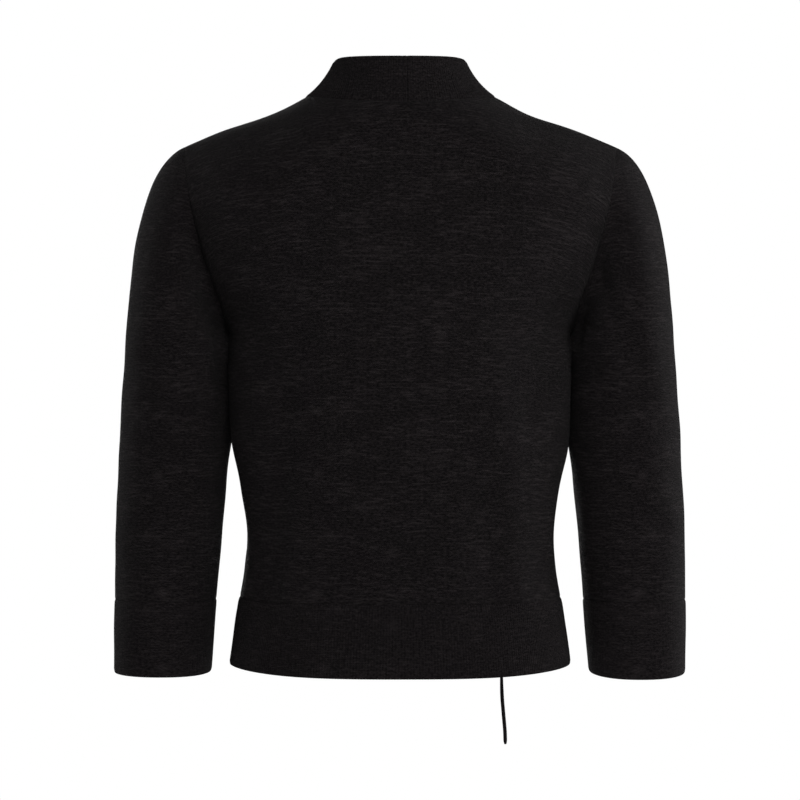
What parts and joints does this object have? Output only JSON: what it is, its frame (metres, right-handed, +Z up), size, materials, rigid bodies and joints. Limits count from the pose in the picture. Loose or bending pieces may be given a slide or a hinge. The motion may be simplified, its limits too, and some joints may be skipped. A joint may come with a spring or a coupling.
{
  "type": "cropped cardigan",
  "caption": "Cropped crossover cardigan in fine black knit with a stand-up neck band, three-quarter sleeves, deep hem and cuffs and a slim waist tie, filled out as if worn.",
  "frame": {"origin": "in the middle of the neck opening, level with the high points of the shoulders, where a wearer's shoulders and neck carry the garment", "axes": "+Z up, +Y to the wearer's back, +X to the wearer's left"},
  "size_m": [0.5026, 0.2513, 0.6074],
  "materials": {
    "knit": "fine black jersey knit with soft slubs along the rows and a faint nap",
    "rib": "fine one by one black rib",
    "tie": "black knitted cord"
  },
  "bodies": {
    "root": {"back": "knit", "front_left": "knit", "front_right": "knit", "sleeve_left": "knit", "sleeve_right": "knit", "cuff_left": "rib", "cuff_right": "rib", "hem_back": "rib", "hem_left": "rib", "hem_right": "rib", "collar_left": "rib", "collar_right": "rib", "tie_lead_left": "tie", "tie_lead_right": "tie", "tie_knot": "tie", "tie_tail_long": "tie", "tie_tail_short": "tie"}
  },
  "joints": []
}
